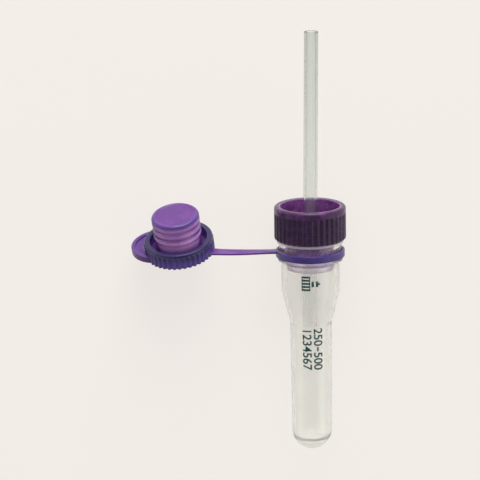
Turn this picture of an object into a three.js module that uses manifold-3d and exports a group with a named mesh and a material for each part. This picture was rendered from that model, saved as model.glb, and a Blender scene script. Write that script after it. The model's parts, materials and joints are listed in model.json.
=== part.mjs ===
// Capillary blood collection micro tube with its capillary adapter and tethered stopper, millimetres.
// Every piece is drawn in the tube's own frame: the tube's axis is Z, its closed end is at zero, and
// the stopper hangs out on its strap towards -X. The last lines lay the whole object on its side.
import * as THREE from "three";
import { mergeVertices } from "three/addons/utils/BufferGeometryUtils.js";
import Module from "manifold-3d";

const wasm = await Module();
wasm.setup();

// ---- driving dimensions (radii unless the name says otherwise) ----

// tube
const tubeLength = 42.4;
const bodyOuter = 5.4;
const bodyWall = 0.95;
const lowerOuter = 3.88;
const lowerWall = 0.74;
const lowerDraft = 0.15;
const floorThickness = 2.0;
const floorFillet = 1.5;
const coneBottom = 24.6;
const coneHeight = 6.0;
const seatProud = 0.4;
const seatHeight = 3.1;
const beadProud = 0.24;
const beadHeight = 0.5;
const flangeProud = 0.37;
const flangeThickness = 0.5;
const neckWall = 0.8;
const neckHeight = 2.0;
const mouthRounding = 0.25;

// capillary adapter
const collarRibs = 36;
const collarRibHeight = 0.2;
const collarWall = 1.08;
const bandHeight = 1.15;
const recessWall = 1.2;
const recessDepth = 3.46;
const rimOuterRounding = 0.5;
const rimInnerRounding = 0.28;
const webThickness = 0.8;
const plugWall = 0.75;
const plugReach = 5.6;
const plugLead = 0.5;
const bossWall = 0.85;
const bossReach = 2.3;
const countersinkDepth = 0.7;
const countersinkWidth = 0.9;

// capillary
const capillaryLength = 55.7;
const capillaryOuter = 1.3;
const capillaryBore = 0.98;
const capillaryPastCone = 0.8;
const capillaryLean = 0.8;

// tether ring and strap
const ringHeight = 1.3;
const ringWall = 0.41;
const ringRounding = 0.15;
const strapWidth = 1.8;
const strapThickness = 0.45;
const strapFlare = 0.5;
const strapGap = 0.38;
const strapSweep = 3;
const strapRise = 0.12;
const strapInset = 0.4;

// stopper, in its own frame: outer face at zero, plug upwards, tab towards -X
const stopperTeeth = 40;
const toothHeight = 0.4;
const toothSunk = 0.27;
const skirtBand = 0.65;
const skirtWall = 1.0;
const skirtRounding = 0.3;
const crownThickness = 0.9;
const stopperPlugWall = 0.75;
const stopperPlugHeight = 8.0;
const plugEndThickness = 0.8;
const plugEndRounding = 0.6;
const ribCount = 3;
const ribPitch = 1.38;
const ribWidth = 0.9;
const ribProud = 0.14;
const lastRibBack = 0.64;
const coreRounding = 0.4;
const tabCentre = 4.32;
const tabRadius = 4.9;
const tabBottom = 0.1;
const tabThickness = 0.8;
const tabLipHeight = 0.4;
const tabLipWidth = 0.65;
const tabLipSweep = 78;

// how the stopper is held by its strap
const strapSpan = 11.27;
const stopperLift = 0.26;
const stopperPitch = 17.5;
const stopperRoll = -6.15;
const stopperYaw = -20;

// clearances between pieces, on the radius or along the axis
const plugFit = 0.06;
const neckFit = 0.12;
const mouthFit = 0.15;
const collarFit = 0.1;
const capillaryFit = 0.1;
const ringFit = 0.15;
const ringRest = 0.1;

const around = 48; // facets round every turned piece

// ---- sizes that follow ----

const bore = bodyOuter - bodyWall;
const footOuter = lowerOuter - lowerDraft;
const seatOuter = bodyOuter + seatProud;
const flangeOuter = seatOuter + flangeProud;
const neckOuter = bore + neckWall;
const flangeTop = tubeLength - neckHeight;
const flangeBottom = flangeTop - flangeThickness;
const coneTop = coneBottom + coneHeight;
const beadTop = flangeBottom - seatHeight + beadHeight;
const ringInner = seatOuter + ringFit;
const ringOuter = ringInner + ringWall;
const ringBottom = beadTop + ringRest;

const collarBottom = flangeTop + collarFit;
const webBottom = tubeLength + mouthFit;
const recessFloor = webBottom + webThickness;
const collarTop = recessFloor + recessDepth;
const collarInner = neckOuter + neckFit;
const collarBase = collarInner + collarWall;
const collarTip = collarBase + collarRibHeight;
const recessRadius = collarTip - recessWall;
const plugOuter = bore - plugFit;
const plugInner = plugOuter - plugWall;
const plugBottom = collarBottom - plugReach;
const holeRadius = capillaryOuter + capillaryFit;
const bossOuter = holeRadius + bossWall;
const bossBottom = collarBottom - bossReach;
const capillaryEnd = coneBottom - capillaryPastCone;

const skirtInner = collarInner;
const skirtOuter = skirtInner + skirtWall;
const skirtBase = skirtOuter - toothSunk;
const skirtTip = skirtBase + toothHeight;
const stopperPlugOuter = bore - ribProud;
const coreRadius = stopperPlugOuter - stopperPlugWall;
const skirtHeight = crownThickness + webBottom - collarBottom;
const strapLevel = ringBottom + ringHeight / 2;
const stopperHeight = strapLevel + stopperLift;
const stopperDistance = ringOuter + strapSpan + skirtTip;

// ---- materials ----

const clearPolypropylene = new THREE.MeshStandardMaterial({
  color: 0xdfe1da, roughness: 0.22, metalness: 0, transparent: true, opacity: 0.55,
});
const plumPolyethylene = new THREE.MeshStandardMaterial({ color: 0x43294f, roughness: 0.38, metalness: 0 });
const violetPolyethylene = new THREE.MeshStandardMaterial({ color: 0x5b3791, roughness: 0.42, metalness: 0 });
const capillaryPlastic = new THREE.MeshStandardMaterial({
  color: 0xcdd2c6, roughness: 0.15, metalness: 0, transparent: true, opacity: 0.6,
});

// ---- profiles ----

const point = (radius, height) => new THREE.Vector2(radius, height);

// Points of an arc about a centre, from one angle to another in degrees.
function arc(centreRadius, centreHeight, radius, fromAngle, toAngle, steps) {
  return Array.from({ length: steps + 1 }, (_, i) => {
    const angle = THREE.MathUtils.degToRad(fromAngle + ((toAngle - fromAngle) * i) / steps);
    return point(centreRadius + radius * Math.cos(angle), centreHeight + radius * Math.sin(angle));
  });
}

// A turned solid about Z. The profile runs up its outside and down its inside.
function turned(profile, facets = around) {
  return new THREE.LatheGeometry(profile, facets).rotateX(Math.PI / 2);
}

// A ring of teeth: an outline whose radius rises and falls, extruded up from a height.
function toothed(count, base, proud, inner, bottom, height, lobe) {
  const pointsPerTooth = 5;
  const total = count * pointsPerTooth;
  const outline = Array.from({ length: total }, (_, i) => {
    const turn = (2 * Math.PI * i) / total;
    const radius = base + proud * lobe((count * turn) / 2);
    return point(radius * Math.cos(turn), radius * Math.sin(turn));
  });
  const shape = new THREE.Shape(outline);
  const hole = new THREE.Path().absarc(0, 0, inner, 0, 2 * Math.PI, true);
  shape.holes.push(hole);
  const options = { depth: height, bevelEnabled: false, curveSegments: around / 2 };
  return new THREE.ExtrudeGeometry(shape, options).translate(0, 0, bottom);
}

// ---- booleans ----

function solid(geometry) {
  const bare = geometry.clone();
  bare.deleteAttribute("normal");
  bare.deleteAttribute("uv");
  const merged = mergeVertices(bare.index ? bare : mergeVertices(bare), 1e-4);
  const mesh = new wasm.Mesh({
    numProp: 3,
    vertProperties: new Float32Array(merged.attributes.position.array),
    triVerts: new Uint32Array(merged.index.array),
  });
  return new wasm.Manifold(mesh);
}

function geometryOf(manifold) {
  const mesh = manifold.getMesh();
  const geometry = new THREE.BufferGeometry();
  geometry.setAttribute("position", new THREE.BufferAttribute(new Float32Array(mesh.vertProperties), 3));
  geometry.setIndex(new THREE.BufferAttribute(new Uint32Array(mesh.triVerts), 1));
  geometry.computeVertexNormals();
  return geometry;
}

// ---- tube ----

// The open tube: domed foot, narrow lower body, cone, wide body, bead, ring seat, flange and neck.
function tubeGeometry() {
  const seatBottom = flangeBottom - seatHeight;
  const beadOuter = seatOuter + beadProud;
  const lip = mouthRounding;
  const lowerBore = lowerOuter - lowerWall;
  const footBore = footOuter - lowerWall;
  const outside = [
    ...arc(0, footOuter, footOuter, -90, 0, 7),
    point(lowerOuter, coneBottom - 0.5),
    point(lowerOuter + 0.07, coneBottom + 0.1),
    point(bodyOuter - 0.1, coneTop - 0.3),
    point(bodyOuter, coneTop + 0.3),
    point(bodyOuter, seatBottom - 0.4),
    point(beadOuter - 0.12, seatBottom),
    point(beadOuter, seatBottom + 0.15),
    point(beadOuter, beadTop - 0.15),
    point(seatOuter, beadTop),
    point(seatOuter, flangeBottom - 0.12),
    point(seatOuter + 0.12, flangeBottom),
    point(flangeOuter - 0.1, flangeBottom),
    point(flangeOuter, flangeBottom + 0.1),
    point(flangeOuter, flangeTop - 0.1),
    point(flangeOuter - 0.1, flangeTop),
    point(neckOuter, flangeTop),
  ];
  const mouth = [
    ...arc(neckOuter - lip, tubeLength - lip, lip, 0, 90, 2),
    ...arc(bore + lip, tubeLength - lip, lip, 90, 180, 2),
  ];
  const inside = [
    point(bore, coneTop - 0.2),
    point(lowerBore, coneBottom - 0.2),
    point(footBore, floorThickness + floorFillet),
    ...arc(footBore - floorFillet, floorThickness + floorFillet, floorFillet, -22.5, -90, 3),
    point(0, floorThickness),
  ];
  return turned([...outside, ...mouth, ...inside]);
}

// ---- capillary adapter ----

// The collar, its recess and web, the hollow plug and the boss are one closed profile.
function adapterGeometry() {
  const outerRound = rimOuterRounding;
  const innerRound = rimInnerRounding;
  const bandBottom = collarTop - bandHeight;
  const profile = [
    point(holeRadius, bossBottom),
    point(bossOuter, bossBottom),
    point(bossOuter + 0.1, webBottom),
    point(plugInner, webBottom),
    point(plugInner, plugBottom),
    point(plugOuter - 0.22, plugBottom),
    point(plugOuter, plugBottom + plugLead),
    point(plugOuter, webBottom),
    point(collarInner, webBottom),
    point(collarInner, collarBottom + 0.2),
    point(collarInner + 0.2, collarBottom),
    point(collarBase - 0.15, collarBottom),
    point(collarBase, collarBottom + 0.15),
    point(collarBase, bandBottom - 0.1),
    point(collarTip, bandBottom + 0.1),
    ...arc(collarTip - outerRound, collarTop - outerRound, outerRound, 0, 90, 4),
    ...arc(recessRadius + innerRound, collarTop - innerRound, innerRound, 90, 180, 2),
    point(recessRadius, recessFloor + 0.3),
    point(recessRadius - 0.3, recessFloor),
    point(holeRadius + countersinkWidth, recessFloor),
    point(holeRadius, recessFloor - countersinkDepth),
    point(holeRadius, bossBottom),
  ];
  const roundedRib = (halfTurns) => Math.cos(halfTurns) ** 2;
  const ribBottom = collarBottom + 0.15;
  const ribTop = collarTop - bandHeight + 0.1;
  const ribInner = collarBase - 0.25;
  const ribs = toothed(
    collarRibs, collarBase, collarRibHeight, ribInner, ribBottom, ribTop - ribBottom, roundedRib,
  );
  return geometryOf(solid(turned(profile)).add(solid(ribs)));
}

// ---- capillary ----

// A straight tube with softened ends, drawn about Z from its lower end.
function capillaryGeometry() {
  const soft = 0.1;
  const profile = [
    point(capillaryBore + soft, 0),
    point(capillaryOuter - soft, 0),
    point(capillaryOuter, soft),
    point(capillaryOuter, capillaryLength - soft),
    point(capillaryOuter - soft, capillaryLength),
    point(capillaryBore + soft, capillaryLength),
    point(capillaryBore, capillaryLength - soft),
    point(capillaryBore, soft),
    point(capillaryBore + soft, 0),
  ];
  return turned(profile, around / 2);
}

// ---- tether: ring, strap and stopper, one moulding that meets at the strap's middle ----

// The angle between the tube's axis and the bench: the foot and the lowest-reaching edge both touch.
const restLean = Math.max(
  ...[[ringOuter, ringBottom], [collarTip, collarBottom]].map(([radius, height]) => {
    const rise = height - footOuter;
    return Math.acos(footOuter / Math.hypot(radius, rise)) - Math.atan2(rise, radius);
  }),
);

// The unit vector in the tube's frame that points down at the bench, and the bench's distance along it.
const down = new THREE.Vector3(0, Math.cos(restLean), -Math.sin(restLean));
const benchDepth = down.z * footOuter + footOuter;

const stopperTurn = new THREE.Quaternion()
  .setFromAxisAngle(new THREE.Vector3(0, 1, 0), THREE.MathUtils.degToRad(stopperRoll))
  .multiply(new THREE.Quaternion().setFromAxisAngle(
    new THREE.Vector3(1, 0, 0), THREE.MathUtils.degToRad(stopperPitch)))
  .multiply(new THREE.Quaternion().setFromAxisAngle(
    new THREE.Vector3(0, 0, 1), THREE.MathUtils.degToRad(stopperYaw)));

// Where the stopper sits: at its distance and height, with the tab's or the skirt's edge on the bench.
function stopperPlace() {
  const right = new THREE.Vector3(1, 0, 0).applyQuaternion(stopperTurn);
  const away = new THREE.Vector3(0, 1, 0).applyQuaternion(stopperTurn);
  const plugwards = new THREE.Vector3(0, 0, 1).applyQuaternion(stopperTurn);
  const spread = Math.hypot(down.dot(right), down.dot(away));
  const tabDepth = tabRadius * spread - tabCentre * down.dot(right) + tabBottom * down.dot(plugwards);
  const reach = Math.max(skirtTip * spread, tabDepth);
  const depth = (benchDepth - reach - down.z * stopperHeight) / down.y;
  return new THREE.Vector3(-stopperDistance, depth, stopperHeight);
}

const stopperSpot = stopperPlace();
const inStopper = (x, y, z) => new THREE.Vector3(x, y, z).applyQuaternion(stopperTurn).add(stopperSpot);

const sweepAngle = THREE.MathUtils.degToRad(180 + strapSweep);
const strapRoot = new THREE.Vector3(Math.cos(sweepAngle), Math.sin(sweepAngle), 0);
const strapStart = strapRoot.clone().multiplyScalar(ringOuter - ringWall / 2).setZ(strapLevel + strapRise);
const strapEnd = inStopper(skirtBase - 0.3, 0, strapInset);
const strapReach = strapStart.distanceTo(strapEnd);
const intoStopper = new THREE.Vector3(-1, 0, 0).applyQuaternion(stopperTurn);
const strapLine = new THREE.CubicBezierCurve3(
  strapStart,
  strapStart.clone().addScaledVector(strapRoot, strapReach / 3),
  strapEnd.clone().addScaledVector(intoStopper, -strapReach / 3),
  strapEnd,
);

// The strap's direction, width and thickness directions at a share of its length.
function strapFrame(share) {
  const along = strapLine.getTangentAt(share);
  const sideAtRing = new THREE.Vector3(0, 0, 1).cross(strapRoot);
  const sideAtStopper = new THREE.Vector3(0, -1, 0).applyQuaternion(stopperTurn);
  const side = sideAtRing.lerp(sideAtStopper, share);
  side.addScaledVector(along, -side.dot(along)).normalize();
  return { along, side, thick: along.clone().cross(side) };
}

// A length of strap between two shares of the line, wider where it runs into the ring and the stopper.
function strapGeometry(from, to) {
  const steps = 7;
  const strip = new THREE.BoxGeometry(1, strapWidth, strapThickness, steps, 1, 1);
  const positions = strip.attributes.position;
  const vertex = new THREE.Vector3();
  for (let i = 0; i < positions.count; i += 1) {
    vertex.fromBufferAttribute(positions, i);
    const share = THREE.MathUtils.lerp(from, to, vertex.x + 0.5);
    const nearEnd = Math.min(share, 1 - share) * strapReach;
    const flare = 1 + (strapFlare / strapWidth) * Math.exp(-nearEnd / 0.6) * 2;
    const { side, thick } = strapFrame(share);
    const place = strapLine.getPointAt(share);
    place.addScaledVector(side, -vertex.y * flare).addScaledVector(thick, -vertex.z);
    positions.setXYZ(i, place.x, place.y, place.z);
  }
  return strip;
}

const gapShare = strapGap / strapReach;

function tetherRingGeometry() {
  const soft = ringRounding;
  const ringTop = ringBottom + ringHeight;
  const profile = [
    point(ringInner, ringBottom),
    point(ringOuter - soft, ringBottom),
    point(ringOuter, ringBottom + soft),
    point(ringOuter, ringTop - soft),
    point(ringOuter - soft, ringTop),
    point(ringInner, ringTop),
    point(ringInner, ringBottom),
  ];
  return geometryOf(solid(turned(profile)).add(solid(strapGeometry(0, 0.5 - gapShare))));
}

// The stopper about its own axis: a flat toothed crown, a groove for the tube's neck, and a cored plug
// with sealing ribs and a closed end.
function stopperBodyGeometry() {
  const soft = skirtRounding;
  const endOuter = stopperPlugOuter + ribProud - plugEndRounding;
  const firstRib = stopperPlugHeight - plugEndRounding - ribPitch * (ribCount - 1) - lastRibBack;
  const sealingRibs = Array.from({ length: ribCount }, (_, i) => {
    const centre = firstRib + ribPitch * i;
    return [
      point(stopperPlugOuter, centre - ribWidth / 2),
      point(stopperPlugOuter + ribProud, centre - ribWidth / 6),
      point(stopperPlugOuter + ribProud, centre + ribWidth / 6),
      point(stopperPlugOuter, centre + ribWidth / 2),
    ];
  }).flat();
  const endInside = stopperPlugHeight - plugEndThickness;
  const outside = [
    point(skirtBase - 0.1, 0),
    point(skirtBase, 0.1),
    point(skirtBase, skirtHeight - skirtBand - 0.05),
    point(skirtOuter, skirtHeight - skirtBand + 0.05),
    point(skirtOuter, skirtHeight - soft - 0.1),
    ...arc(skirtOuter - soft, skirtHeight - soft, soft, 30, 90, 2),
    point(skirtInner + 0.2, skirtHeight),
    point(skirtInner, skirtHeight - 0.2),
    point(skirtInner, crownThickness),
    point(stopperPlugOuter, crownThickness),
    ...sealingRibs,
    point(stopperPlugOuter, stopperPlugHeight - plugEndRounding - 0.12),
    ...arc(endOuter, stopperPlugHeight - plugEndRounding, plugEndRounding, 0, 90, 4),
    point(0, stopperPlugHeight),
  ];
  const core = [
    point(0, endInside),
    point(coreRadius - 0.5, endInside),
    point(coreRadius, endInside - 0.5),
    point(coreRadius, coreRounding),
    point(coreRadius + coreRounding, 0),
  ];
  return turned([...core, ...outside]);
}

// The thumb tab: a disc narrower than the skirt, set out beside it, with a raised lip along its free edge.
function tabGeometry() {
  const disc = new THREE.Shape().absarc(-tabCentre, 0, tabRadius, 0, 2 * Math.PI);
  const plate = new THREE.ExtrudeGeometry(disc, {
    depth: tabThickness, bevelEnabled: false, curveSegments: around / 2,
  }).translate(0, 0, tabBottom);
  const crescent = new THREE.Shape();
  const lipSweep = THREE.MathUtils.degToRad(tabLipSweep);
  crescent.absarc(-tabCentre, 0, tabRadius, Math.PI - lipSweep, Math.PI + lipSweep);
  crescent.absarc(-tabCentre, 0, tabRadius - tabLipWidth, Math.PI + lipSweep, Math.PI - lipSweep, true);
  const lip = new THREE.ExtrudeGeometry(crescent, {
    depth: tabLipHeight + 0.2, bevelEnabled: false, curveSegments: 14,
  }).translate(0, 0, tabBottom + tabThickness - 0.2);
  return solid(plate).add(solid(lip));
}

function stopperGeometry() {
  const scallop = (halfTurns) => Math.abs(Math.cos(halfTurns));
  const teeth = toothed(
    stopperTeeth, skirtBase, toothHeight, skirtBase - 0.25, 0, skirtHeight - skirtBand, scallop,
  );
  const keepOut = turned([
    point(0, -1),
    point(skirtBase - 0.2, -1),
    point(skirtBase - 0.2, skirtHeight),
    point(0, skirtHeight),
  ]);
  const tab = tabGeometry().subtract(solid(keepOut));
  const body = solid(stopperBodyGeometry()).add(solid(teeth)).add(tab);
  const placed = body.transform(
    new THREE.Matrix4().compose(stopperSpot, stopperTurn, new THREE.Vector3(1, 1, 1)).elements,
  );
  return geometryOf(placed.add(solid(strapGeometry(0.5 + gapShare, 1))));
}

// ---- assembly ----

function piece(name, geometry, material) {
  const mesh = new THREE.Mesh(geometry, material);
  mesh.name = name;
  return mesh;
}

const capillaryMesh = piece("capillary", capillaryGeometry(), capillaryPlastic);
const capillaryPivot = (recessFloor + bossBottom) / 2;
const capillaryHolder = new THREE.Group();
capillaryHolder.position.z = capillaryPivot;
capillaryHolder.rotation.y = THREE.MathUtils.degToRad(capillaryLean);
capillaryMesh.position.z = capillaryEnd - capillaryPivot;
capillaryHolder.add(capillaryMesh);

const assembly = new THREE.Group();
assembly.add(
  piece("tube_body", tubeGeometry(), clearPolypropylene),
  piece("capillary_adapter", adapterGeometry(), plumPolyethylene),
  piece("tether_ring", tetherRingGeometry(), violetPolyethylene),
  piece("stopper", stopperGeometry(), violetPolyethylene),
  capillaryHolder,
);

// Laid on the bench: the axis along Y with the mouth raised by the lean, centred over the origin.
assembly.rotation.x = restLean - Math.PI / 2;
assembly.updateMatrixWorld(true);
const box = new THREE.Box3().setFromObject(assembly, true);
const centre = box.getCenter(new THREE.Vector3());
assembly.position.set(-centre.x, -centre.y, -box.min.z);

const bloodCollectionTube = new THREE.Group();
bloodCollectionTube.add(assembly);

export default bloodCollectionTube;
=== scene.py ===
"""Blood collection micro tube: clear tube, ribbed capillary adapter, capillary and tethered stopper.

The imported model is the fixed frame. Every piece is worked out in the tube's own frame, in millimetres:
z runs up the tube's axis from its closed end, x points away from the stopper, and -y faces up from the
bench. Bench.place() turns that frame into the model's, in metres. Each surface is a grid of points
computed as whole arrays: a rounded profile turned about an axis, or a section carried along a path.
"""

import json
import logging
import math
from collections.abc import Callable, Sequence
from dataclasses import dataclass, field
from enum import Enum
from functools import reduce

import bpy
import numpy as np
from mathutils import Matrix, Vector
from numpy.typing import NDArray


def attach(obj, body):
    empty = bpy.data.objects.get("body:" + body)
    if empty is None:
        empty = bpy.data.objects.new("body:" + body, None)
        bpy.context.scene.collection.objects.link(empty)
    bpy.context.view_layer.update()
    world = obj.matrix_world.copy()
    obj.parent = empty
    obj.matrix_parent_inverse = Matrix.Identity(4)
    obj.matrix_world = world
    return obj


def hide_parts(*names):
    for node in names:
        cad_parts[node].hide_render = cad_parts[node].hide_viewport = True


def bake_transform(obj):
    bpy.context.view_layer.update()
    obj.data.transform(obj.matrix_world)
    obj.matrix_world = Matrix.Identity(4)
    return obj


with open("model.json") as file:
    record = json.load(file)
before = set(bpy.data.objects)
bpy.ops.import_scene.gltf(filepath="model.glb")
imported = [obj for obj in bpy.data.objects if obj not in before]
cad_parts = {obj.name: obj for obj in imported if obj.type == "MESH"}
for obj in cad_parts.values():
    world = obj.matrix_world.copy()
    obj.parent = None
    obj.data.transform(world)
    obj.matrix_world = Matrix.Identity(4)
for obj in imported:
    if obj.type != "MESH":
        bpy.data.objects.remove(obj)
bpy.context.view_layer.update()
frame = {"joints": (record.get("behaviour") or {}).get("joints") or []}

Array = NDArray[np.float64]
Corner = tuple[float, float, float]
LOG = logging.getLogger("micro_tube")
MM = 0.001
# What a noise texture's values mostly stay between.
NOISE_SPAN = {"From Min": 0.3, "From Max": 0.7}


# ---- small mathematics ----


def ease(low: float, high: float, value: Array) -> Array:
    """Smooth step: t^2 (3 - 2t), where t is value's share of the way from low to high.

    Args:
        low: where the step starts, at 0.
        high: where the step ends, at 1.
        value: any numbers.

    Returns:
        The same shape, each between 0 and 1.
    """
    share = np.clip((value - low) / (high - low), 0.0, 1.0)
    return share * share * (3.0 - 2.0 * share)


def unit(vector: Array) -> Array:
    """Vectors along the last axis, each divided by its length."""
    return vector / np.linalg.norm(vector, axis=-1, keepdims=True)


def linear(hex_colour: str) -> tuple[float, float, float, float]:
    """An sRGB hex colour as linear light with alpha 1.

    Args:
        hex_colour: six hex digits, with or without a leading #.

    Returns:
        Red, green, blue and alpha: c / 12.92 up to 0.04045, else ((c + 0.055) / 1.055)^2.4.
    """
    digits = hex_colour.lstrip("#")
    srgb = np.array([int(digits[i : i + 2], 16) for i in (0, 2, 4)]) / 255.0
    light = np.where(srgb <= 0.04045, srgb / 12.92, ((srgb + 0.055) / 1.055) ** 2.4)
    return (float(light[0]), float(light[1]), float(light[2]), 1.0)


def rounded(corners: Sequence[Corner], closed: bool, steps: int = 5, reach: float = 0.06) -> Array:
    """A profile with each corner rounded by its own radius.

    A corner where the line turns by an angle is left at rounding x tan(angle / 2) before it, and the arc
    goes on as start + rounding x (sin(a) along + (1 - cos(a)) aside) while a grows to the angle. One more
    point on each side, at most reach away, keeps the flats between the arcs flat when they are shaded.

    Args:
        corners: (radius, height, rounding) in order.
        closed: True if the last corner joins the first; else the two ends stay as they are.
        steps: how many pieces each arc has.
        reach: how far from its arc a guard point may lie.

    Returns:
        Points, one (radius, height) a row.
    """
    table = np.array(corners, float)
    places, radii = table[:, :2], np.maximum(table[:, 2], 0.01)
    before, after = np.roll(places, 1, axis=0), np.roll(places, -1, axis=0)
    length_out = np.linalg.norm(after - places, axis=1)
    arriving, leaving = unit(places - before), unit(after - places)
    crossed = arriving[:, 0] * leaving[:, 1] - arriving[:, 1] * leaving[:, 0]
    turn = np.arctan2(crossed, (arriving * leaving).sum(axis=1))
    if not closed:
        turn[[0, -1]] = 0.0
    tangent = radii * np.tan(np.abs(turn) / 2)
    share = np.minimum(1.0, 0.998 * length_out / np.maximum(tangent + np.roll(tangent, -1), 1e-9))
    tangent *= np.minimum(share, np.roll(share, 1))
    bend = tangent / np.maximum(np.tan(np.abs(turn) / 2), 1e-9)
    aside = np.sign(turn)[:, None] * np.stack([-arriving[:, 1], arriving[:, 0]], axis=1)
    angles = np.abs(turn)[:, None, None] * np.linspace(0, 1, steps + 1)[None, :, None]
    start = (places - arriving * tangent[:, None])[:, None, :]
    arcs = start + bend[:, None, None] * (
        np.sin(angles) * arriving[:, None, :] + (1 - np.cos(angles)) * aside[:, None, :]
    )
    free_out = length_out - tangent - np.roll(tangent, -1)
    guard_out = np.minimum(reach, 0.3 * free_out)[:, None]
    guard_in = np.minimum(reach, 0.3 * np.roll(free_out, 1))[:, None]
    first = arcs[:, 0] - arriving * guard_in
    last = arcs[:, -1] + leaving * guard_out
    rows = np.concatenate([first[:, None], arcs, last[:, None]], axis=1)
    if not closed:
        points = np.concatenate([places[:1], rows[1:-1].reshape(-1, 2), places[-1:]])
    else:
        points = rows.reshape(-1, 2)
    gaps = np.linalg.norm(points - np.roll(points, 1, axis=0), axis=1)
    keep = gaps > 1e-4
    if not closed:
        keep[0] = True
    return points[keep]


# ---- surfaces ----


@dataclass
class Shell:
    """A closed surface: its points in millimetres, its four-sided and its three-sided faces.

    thin says for each point how much light its wall lets through, 0 for a thick one and 1 for a thin one; in
    places it also holds painted light and shade.
    """

    points: Array
    quads: NDArray[np.int64]
    fans: NDArray[np.int64]
    thin: Array | None = None

    def walls(self) -> Array:
        """thin, or 0 everywhere if it was never set."""
        return np.zeros(len(self.points)) if self.thin is None else self.thin

    def joined(self, other: "Shell") -> "Shell":
        """This shell and another one in one mesh.

        Args:
            other: the shell to add.

        Returns:
            One shell with both surfaces and their walls.
        """
        count = len(self.points)
        return Shell(
            np.concatenate([self.points, other.points]),
            np.concatenate([self.quads, other.quads + count]),
            np.concatenate([self.fans, other.fans + count]),
            np.concatenate([self.walls(), other.walls()]),
        )

    def moved(self, turn: Array, shift: Array) -> "Shell":
        """Each point turned by a 3x3 matrix, then shifted."""
        return Shell(self.points @ turn.T + shift, self.quads, self.fans, self.thin)

    def walled(self, rule: Callable[[Array, Array], Array]) -> "Shell":
        """The same shell, with thin given by a rule from each point's distance from z and its height."""
        radius = np.hypot(self.points[:, 0], self.points[:, 1])
        return Shell(self.points, self.quads, self.fans, rule(radius, self.points[:, 2]))

    def facing_out(self) -> "Shell":
        """The same shell, turned inside out if need be.

        The signed volume, a sum of a.(b x c) / 6 over the triangles, is negative where the faces point in.

        Returns:
            The shell with its faces outwards.
        """
        split = np.concatenate([self.quads[:, [0, 1, 2]], self.quads[:, [0, 2, 3]], self.fans])
        a, b, c = (self.points[split[:, i]] for i in range(3))
        if float((a * np.cross(b, c)).sum()) >= 0:
            return self
        return Shell(self.points, self.quads[:, ::-1], self.fans[:, ::-1], self.thin)


def skinned(grid: Array, loop: bool, poles: tuple[Array, Array] | None = None) -> Shell:
    """A closed shell over a grid of points whose columns run round.

    Args:
        grid: rows x columns x 3; the last column joins the first.
        loop: True if the last row joins the first.
        poles: the two end points that close the first and the last row.

    Returns:
        The shell, facing outwards.
    """
    rows, columns = grid.shape[:2]
    index = np.arange(rows * columns).reshape(rows, columns)
    below = index if loop else index[:-1]
    above = np.roll(index, -1, axis=0) if loop else index[1:]
    quads = np.stack(
        [below, np.roll(below, -1, axis=1), np.roll(above, -1, axis=1), above], axis=-1
    ).reshape(-1, 4)
    points, fans = grid.reshape(-1, 3), np.zeros((0, 3), np.int64)
    if poles is not None:
        low, high = len(points), len(points) + 1
        points = np.concatenate([points, np.stack(poles)])
        first, last = index[0], index[-1]
        under = np.stack([np.full(columns, low), np.roll(first, -1), first], axis=1)
        over = np.stack([last, np.roll(last, -1), np.full(columns, high)], axis=1)
        fans = np.concatenate([under, over])
    return Shell(points, quads, fans).facing_out()


def turned(
    profile: Array, columns: int, ripple: Callable[[Array, Array, Array], Array] | None = None
) -> Shell:
    """A profile turned about z: (r cos(a), r sin(a), z), where r may rise and fall with the angle a.

    Args:
        profile: (radius, height) rows; if both ends lie on the axis they close in poles, else it is a loop.
        columns: how many steps the turn has.
        ripple: what to add to the radius, from radius, height and angle.

    Returns:
        The turned shell.
    """
    open_ends = profile[0, 0] < 1e-6 and profile[-1, 0] < 1e-6
    body = profile[1:-1] if open_ends else profile
    angle = np.linspace(0, 2 * np.pi, columns, endpoint=False)[None, :]
    radius = np.repeat(body[:, :1], columns, axis=1)
    height = np.repeat(body[:, 1:], columns, axis=1)
    if ripple is not None:
        radius = radius + ripple(radius, height, angle)
    grid = np.stack([radius * np.cos(angle), radius * np.sin(angle), height], axis=-1)
    if not open_ends:
        return skinned(grid, loop=True)
    ends = (np.array([0, 0, profile[0, 1]]), np.array([0, 0, profile[-1, 1]]))
    return skinned(grid, loop=False, poles=ends)


# ---- where the object lies ----


@dataclass(frozen=True)
class Bench:
    """The tube's own frame as it lies on the bench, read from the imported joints."""

    swivel_height: float = 38.05

    def joint(self, name: str) -> dict:
        """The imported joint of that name."""
        return next(j for j in frame["joints"] if j["name"] == name)

    def axes(self) -> Array:
        """The tube's own directions, from the swivel's axis and the model's x made square to it.

        Returns:
            The tube's x, y and z in the model's frame, as columns.
        """
        up = unit(np.array(self.joint("ring_swivel")["axis"], float))
        right = unit(np.array([1.0, 0.0, 0.0]) - up[0] * up)
        return np.stack([right, np.cross(up, right), up], axis=1)

    def origin(self) -> Array:
        """The middle of the tube's closed end, in millimetres in the model's frame."""
        return np.array(self.joint("ring_swivel")["pos_m"]) / MM - self.axes()[:, 2] * self.swivel_height

    def place(self, points: Array) -> Array:
        """Points in the tube's frame, in millimetres, as points in the model's frame, in metres."""
        return (points @ self.axes().T + self.origin()) * MM


BENCH = Bench()


def piece(name: str, shell: Shell, material: bpy.types.Material) -> bpy.types.Object:
    """One object at the origin whose mesh holds the shell where it belongs.

    Args:
        name: the piece's name.
        shell: its surface, in the tube's frame.
        material: its finish.

    Returns:
        The new object, smooth shaded.
    """
    mesh = bpy.data.meshes.new(name)
    mesh.from_pydata(BENCH.place(shell.points).tolist(), [], shell.quads.tolist() + shell.fans.tolist())
    mesh.shade_smooth()
    mesh.materials.append(material)
    # thin also carries painted light and shade, as each piece's walls say.
    mesh.attributes.new("thin", "FLOAT", "POINT").data.foreach_set("value", shell.walls())
    mesh.update()
    made = bpy.data.objects.new(name, mesh)
    bpy.context.scene.collection.objects.link(made)
    return made


# ---- finishes ----


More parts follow.
